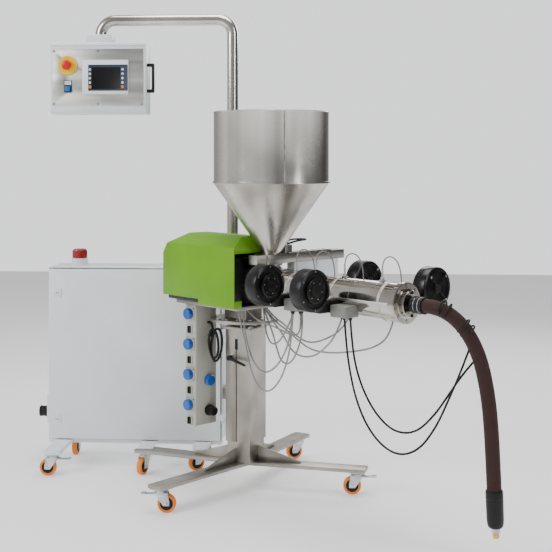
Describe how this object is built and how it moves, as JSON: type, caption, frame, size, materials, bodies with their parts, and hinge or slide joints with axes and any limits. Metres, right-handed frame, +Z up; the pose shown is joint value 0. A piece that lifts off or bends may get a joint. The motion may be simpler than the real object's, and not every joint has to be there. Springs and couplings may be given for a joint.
{
  "type": "mobile plastic extruder",
  "caption": "Wheeled plastic extruder: hopper, heated barrel with blowers and hose on a lifting column stand, joined to a control cabinet with an operator panel on a tube arm.",
  "frame": {"origin": "on the floor, under the centre of the machine's box without its hose and leads", "axes": "+Z up, +X to the right along the cabinet's front, +Y from the operator towards the cabinet"},
  "size_m": [1.9976, 1.4058, 2.0734],
  "materials": {
    "white_paint": "semi-gloss powder coat",
    "green_paint": "semi-gloss powder coat",
    "beige_paint": "satin",
    "grey_steel": "satin, light wear",
    "stainless": "brushed",
    "polished": "polished",
    "zinc": "bright zinc",
    "black_paint": "satin",
    "black_plastic": "matte",
    "grey_lead": "satin sheath",
    "braid": "braided sleeve",
    "orange_tread": "polyurethane tread",
    "blue_plastic": "gloss",
    "red_plastic": "gloss",
    "yellow_plastic": "gloss",
    "red_lens": "clear red lens",
    "screen": "keypad and dark display"
  },
  "bodies": {
    "base": {"arm_brackets": "grey_steel", "arm_collar": "white_paint", "beacon_base": "white_paint", "beacon_lens": "red_lens", "cabinet_base_frame": "white_paint", "cabinet_shell": "white_paint", "caster_plates": "zinc", "connector_hood": "white_paint", "inner_column": "grey_steel", "leg_gussets": "grey_steel", "locked_caster_forks": "zinc", "locked_caster_wheels": "orange_tread", "mains_plug": "black_plastic", "operator_screen": "screen", "panel_faceplate": "stainless", "panel_handle": "black_plastic", "panel_housing": "white_paint", "stand_legs": "grey_steel", "stop_ring": "yellow_plastic", "support_arm": "stainless"},
    "door": {"cabinet_door": "white_paint", "door_locks": "white_paint"},
    "head": {"outer_column": "grey_steel", "swivel_plate": "grey_steel", "head_base_plate": "grey_steel", "gearbox": "black_paint", "gear_cover": "green_paint", "feed_block": "stainless", "barrel_shell": "polished", "barrel_head": "polished", "hose_coupling": "black_paint", "sensor_probes": "stainless", "terminal_boxes": "beige_paint", "blower_housings": "black_paint", "blower_motors": "black_paint", "hopper_drum": "stainless", "hopper_cone": "stainless", "slide_channel": "stainless", "side_box": "white_paint", "socket_box": "beige_paint", "socket_lids": "blue_plastic", "socket_frames": "black_plastic", "hose": "braid", "hose_end_sleeve": "black_plastic", "hose_nozzle": "zinc", "hose_cables": "black_plastic", "heater_leads": "grey_lead", "sensor_leads": "grey_lead"},
    "lever": {"clamp_lever": "black_plastic"},
    "stop_head": {"stop_button": "red_plastic"},
    "blue_head": {"blue_button": "blue_plastic"},
    "fork_1": {"caster_fork_1": "zinc"},
    "wheel_1": {"caster_wheel_1": "orange_tread"},
    "fork_2": {"caster_fork_2": "zinc"},
    "wheel_2": {"caster_wheel_2": "orange_tread"},
    "fork_3": {"caster_fork_3": "zinc"},
    "wheel_3": {"caster_wheel_3": "orange_tread"}
  },
  "joints": [
    {"name": "door_hinge", "type": "hinge", "parent": "base", "child": "door", "pos_m": [-0.04186, 0.38237, 0.5], "axis": [0, 0, 1], "range_deg": [0, 28]},
    {"name": "column_lift", "type": "slide", "parent": "base", "child": "head", "axis": [0, 0, 1], "range_m": [0, 0.2]},
    {"name": "clamp_turn", "type": "hinge", "parent": "head", "child": "lever", "pos_m": [0.02811, 0.06208, 0.56], "axis": [0.4067, 0.9135, 0], "range_deg": [-40, 40]},
    {"name": "stop_press", "type": "slide", "parent": "base", "child": "stop_head", "axis": [0, 1, 0], "range_m": [0, 0.0045], "stiffness_N_per_m": 900, "springref_m": -0.002},
    {"name": "blue_press", "type": "slide", "parent": "base", "child": "blue_head", "axis": [0, 1, 0], "range_m": [0, 0.0025], "stiffness_N_per_m": 900, "springref_m": -0.002},
    {"name": "caster_1_swivel", "type": "hinge", "parent": "base", "child": "fork_1", "pos_m": [0.29422, 0.56746, 0.09], "axis": [0, 0, 1], "continuous": true},
    {"name": "caster_1_roll", "type": "hinge", "parent": "fork_1", "child": "wheel_1", "pos_m": [0.27167, 0.55925, 0.0375], "axis": [-0.342, 0.9397, 0], "continuous": true},
    {"name": "caster_2_swivel", "type": "hinge", "parent": "base", "child": "fork_2", "pos_m": [-0.37888, 0.27479, 0.09], "axis": [0, 0, 1], "continuous": true},
    {"name": "caster_2_roll", "type": "hinge", "parent": "fork_2", "child": "wheel_2", "pos_m": [-0.38709, 0.25224, 0.0375], "axis": [-0.9397, 0.342, 0], "continuous": true},
    {"name": "caster_3_swivel", "type": "hinge", "parent": "base", "child": "fork_3", "pos_m": [-0.13786, 0.34837, 0.09], "axis": [0, 0, 1], "continuous": true},
    {"name": "caster_3_roll", "type": "hinge", "parent": "fork_3", "child": "wheel_3", "pos_m": [-0.15752, 0.3346, 0.0375], "axis": [-0.5736, 0.8191, 0], "continuous": true}
  ]
}
